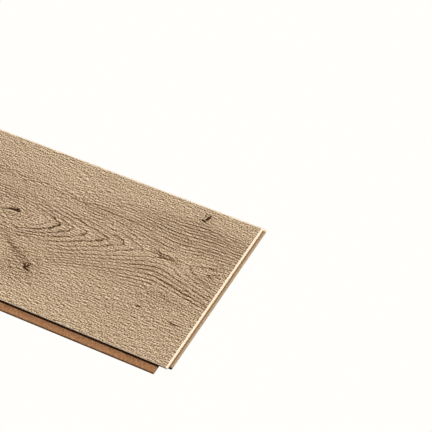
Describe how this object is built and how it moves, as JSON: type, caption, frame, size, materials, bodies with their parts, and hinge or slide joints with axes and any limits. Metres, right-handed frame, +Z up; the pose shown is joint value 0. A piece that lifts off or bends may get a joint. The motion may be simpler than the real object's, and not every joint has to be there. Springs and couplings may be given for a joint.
{
  "type": "laminate floor plank",
  "caption": "Flat click-lock laminate floor plank: printed wood-grain face with bevelled edges, fibreboard core milled with a tongue, groove and locking lip, balancing paper underneath",
  "frame": {"origin": "on the underside, below the middle of the decor face", "axes": "+X along the plank towards its end tongue, +Y across it towards its long tongue, +Z up out of the decor face"},
  "size_m": [1.298, 0.2025, 0.007],
  "materials": {
    "decor_laminate": "melamine-sealed oak print, matt, embossed with fine grain",
    "fibreboard": "milled high-density fibreboard, matt brown",
    "balancing_paper": "resin-impregnated balancing paper, matt"
  },
  "bodies": {
    "root": {"decor_layer": "decor_laminate", "hdf_core": "fibreboard", "backing_layer": "balancing_paper"}
  },
  "joints": []
}
